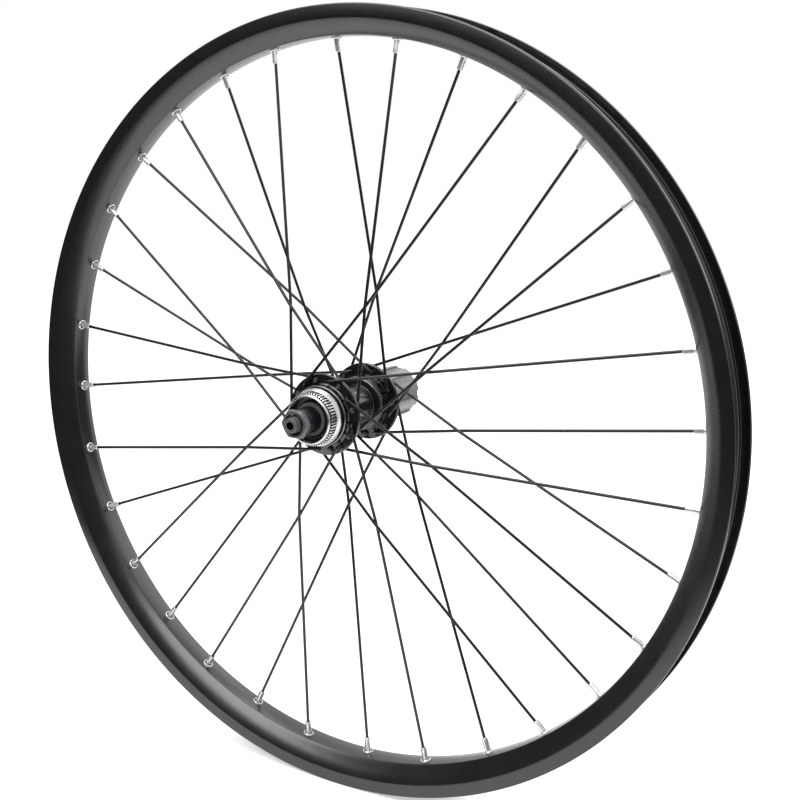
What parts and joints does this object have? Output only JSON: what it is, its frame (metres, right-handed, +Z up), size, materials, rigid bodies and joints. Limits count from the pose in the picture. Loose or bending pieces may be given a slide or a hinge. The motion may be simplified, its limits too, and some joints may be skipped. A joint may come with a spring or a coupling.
{
  "type": "rear bicycle wheel",
  "caption": "Spoked rear bicycle wheel with a hooked double-wall rim, a hub with a splined disc boss and a freehub for sprockets, without a tyre.",
  "frame": {"origin": "the wheel's centre, on the axle's axis and half way between the ends of the axle", "axes": "+Y along the axle from the brake-disc side to the sprocket side, +Z up"},
  "size_m": [0.5189, 0.144, 0.519],
  "materials": {
    "rim_black": "satin black anodised",
    "hub_black": "gloss black, with a machined silver disc boss",
    "spoke_black": "semi-gloss black",
    "bright_steel": "polished",
    "nickel_brass": "nickel plated",
    "dark_steel": "dark satin",
    "dark_aluminium": "dark satin",
    "bearing_steel": "ground",
    "freehub_silver": "satin"
  },
  "bodies": {
    "axle": {"axle": "dark_steel", "locknuts": "dark_steel", "spacers": "dark_aluminium", "bearings": "bearing_steel"},
    "wheel": {"rim": "rim_black", "eyelets": "bright_steel", "nipples": "nickel_brass", "hub_shell": "hub_black", "freehub_core": "bearing_steel", "disc_outer_spoke_1": "spoke_black", "disc_outer_spoke_2": "spoke_black", "disc_outer_spoke_3": "spoke_black", "disc_outer_spoke_4": "spoke_black", "disc_outer_spoke_5": "spoke_black", "disc_outer_spoke_6": "spoke_black", "disc_outer_spoke_7": "spoke_black", "disc_outer_spoke_8": "spoke_black", "disc_inner_spoke_1": "spoke_black", "disc_inner_spoke_2": "spoke_black", "disc_inner_spoke_3": "spoke_black", "disc_inner_spoke_4": "spoke_black", "disc_inner_spoke_5": "spoke_black", "disc_inner_spoke_6": "spoke_black", "disc_inner_spoke_7": "spoke_black", "disc_inner_spoke_8": "spoke_black", "drive_outer_spoke_1": "spoke_black", "drive_outer_spoke_2": "spoke_black", "drive_outer_spoke_3": "spoke_black", "drive_outer_spoke_4": "spoke_black", "drive_outer_spoke_5": "spoke_black", "drive_outer_spoke_6": "spoke_black", "drive_outer_spoke_7": "spoke_black", "drive_outer_spoke_8": "spoke_black", "drive_inner_spoke_1": "spoke_black", "drive_inner_spoke_2": "spoke_black", "drive_inner_spoke_3": "spoke_black", "drive_inner_spoke_4": "spoke_black", "drive_inner_spoke_5": "spoke_black", "drive_inner_spoke_6": "spoke_black", "drive_inner_spoke_7": "spoke_black", "drive_inner_spoke_8": "spoke_black"},
    "freehub": {"freehub_shell": "freehub_silver"},
    "pawl_1": {"pawl_1": "bearing_steel"},
    "pawl_2": {"pawl_2": "bearing_steel"}
  },
  "joints": [
    {"name": "wheel_spin", "type": "hinge", "parent": "axle", "child": "wheel", "pos_m": [0, 0, 0], "axis": [0, 1, 0], "continuous": true},
    {"name": "freehub_spin", "type": "hinge", "parent": "wheel", "child": "freehub", "pos_m": [0, 0.041, 0], "axis": [0, 1, 0], "continuous": true},
    {"name": "pawl_1_lift", "type": "hinge", "parent": "wheel", "child": "pawl_1", "pos_m": [0.01141, 0.0287, 0.00581], "axis": [0, 1, 0], "range_deg": [0, 11], "stiffness_Nm_per_rad": 0.01},
    {"name": "pawl_2_lift", "type": "hinge", "parent": "wheel", "child": "pawl_2", "pos_m": [-0.01141, 0.0287, -0.00581], "axis": [0, 1, 0], "range_deg": [0, 11], "stiffness_Nm_per_rad": 0.01}
  ],
  "couplings": [
    {"joint": "pawl_2_lift", "follows": "pawl_1_lift", "ratio": 1}
  ]
}
